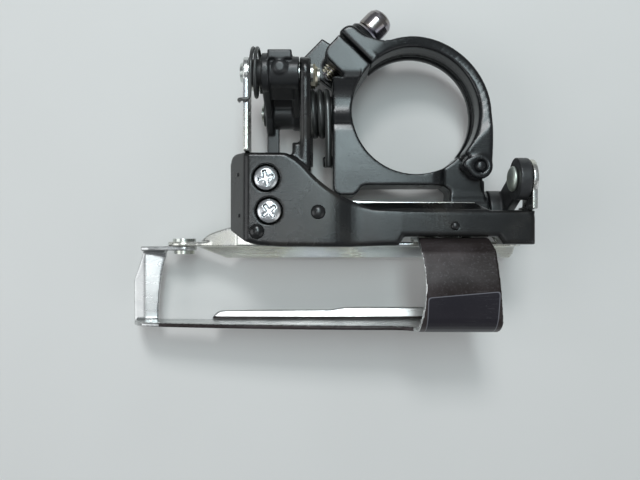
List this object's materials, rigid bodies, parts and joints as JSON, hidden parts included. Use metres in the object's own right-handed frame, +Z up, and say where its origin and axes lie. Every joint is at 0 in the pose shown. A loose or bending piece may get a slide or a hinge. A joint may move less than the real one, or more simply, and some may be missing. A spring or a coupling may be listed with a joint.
{
  "type": "front derailleur",
  "caption": "Clamp-on front derailleur: hinged seat tube clamp, sprung parallelogram links, limit screws, and a chain cage with a front bridge and a riveted tail strap",
  "frame": {"origin": "on the seat tube's axis, halfway along the clamp's width", "axes": "X forward along the bicycle, Y towards the non-drive side, Z up the seat tube"},
  "size_m": [0.1103, 0.0891, 0.0349],
  "materials": {
    "black_cast": "satin black paint over cast aluminium",
    "black_satin": "satin black paint, finely grained",
    "plated_steel": "bright zinc plating",
    "dark_sheet": "dark metallic paint outside, bare plating inside",
    "spring_wire": "black phosphate",
    "resin": "natural resin"
  },
  "bodies": {
    "bracket": {"bracket": "black_cast", "clamp_hinge_pin": "plated_steel", "inner_link_pin": "plated_steel", "inner_link_clip": "spring_wire", "outer_link_pin": "plated_steel", "outer_link_clip": "spring_wire", "return_spring": "spring_wire", "spring_bush": "resin"},
    "clamp_band": {"clamp_band": "black_cast", "clamp_washer": "plated_steel"},
    "clamp_bolt": {"clamp_bolt": "plated_steel"},
    "inner_link": {"inner_link": "black_satin", "cable_claw": "plated_steel", "cable_anchor_nut": "plated_steel"},
    "cable_anchor": {"cable_anchor_bolt": "plated_steel"},
    "outer_link": {"outer_link": "black_satin"},
    "cage": {"carrier": "black_satin", "carrier_plate": "plated_steel", "rear_carrier_pin": "plated_steel", "rear_pin_washer": "plated_steel", "helper_bush": "resin", "helper_spring": "spring_wire", "front_carrier_pin": "plated_steel", "limit_screw_plate": "resin", "inner_plate": "plated_steel", "outer_plate": "dark_sheet", "tail_rivet": "plated_steel", "bridge_rivet_rear": "plated_steel", "bridge_rivet_front": "plated_steel", "carrier_rivet_rear": "black_satin", "carrier_rivet_mid": "black_satin", "carrier_rivet_front": "black_satin"},
    "low_screw": {"limit_screw_low": "plated_steel"},
    "high_screw": {"limit_screw_high": "plated_steel"}
  },
  "joints": [
    {"name": "link_swing", "type": "hinge", "parent": "bracket", "child": "inner_link", "pos_m": [-0.035, 0.0008, -0.0025], "axis": [1, 0, 0], "range_deg": [0, 60], "stiffness_Nm_per_rad": 0.2, "springref_deg": -85.94, "deforming": ["return_spring"]},
    {"name": "cage_level", "type": "hinge", "parent": "inner_link", "child": "cage", "pos_m": [-0.036, 0.00822, 0.01401], "axis": [1, 0, 0], "range_deg": [-60, 0]},
    {"name": "outer_link_swing", "type": "hinge", "parent": "bracket", "child": "outer_link", "pos_m": [0.024, -0.0269, -0.0025], "axis": [1, 0, 0], "range_deg": [0, 60]},
    {"name": "clamp_hinge", "type": "hinge", "parent": "bracket", "child": "clamp_band", "pos_m": [0.01746, -0.01528, 0], "axis": [0, 0, -1], "range_deg": [0, 50]},
    {"name": "clamp_bolt_turn", "type": "hinge", "parent": "clamp_band", "child": "clamp_bolt", "pos_m": [-0.01813, 0.01751, 0], "axis": [0.6947, 0.7193, 0], "continuous": true},
    {"name": "cable_anchor_turn", "type": "hinge", "parent": "inner_link", "child": "cable_anchor", "pos_m": [-0.04, 0.0101, 0.0031], "axis": [1, 0, 0], "continuous": true},
    {"name": "low_screw_turn", "type": "hinge", "parent": "cage", "child": "low_screw", "pos_m": [-0.04015, -0.01938, 0.01], "axis": [0, 0, 1], "continuous": true},
    {"name": "high_screw_turn", "type": "hinge", "parent": "cage", "child": "high_screw", "pos_m": [-0.03935, -0.02788, 0.01], "axis": [0, 0, 1], "continuous": true}
  ],
  "couplings": [
    {"joint": "cage_level", "follows": "link_swing", "ratio": -1},
    {"joint": "outer_link_swing", "follows": "link_swing", "ratio": 1}
  ]
}
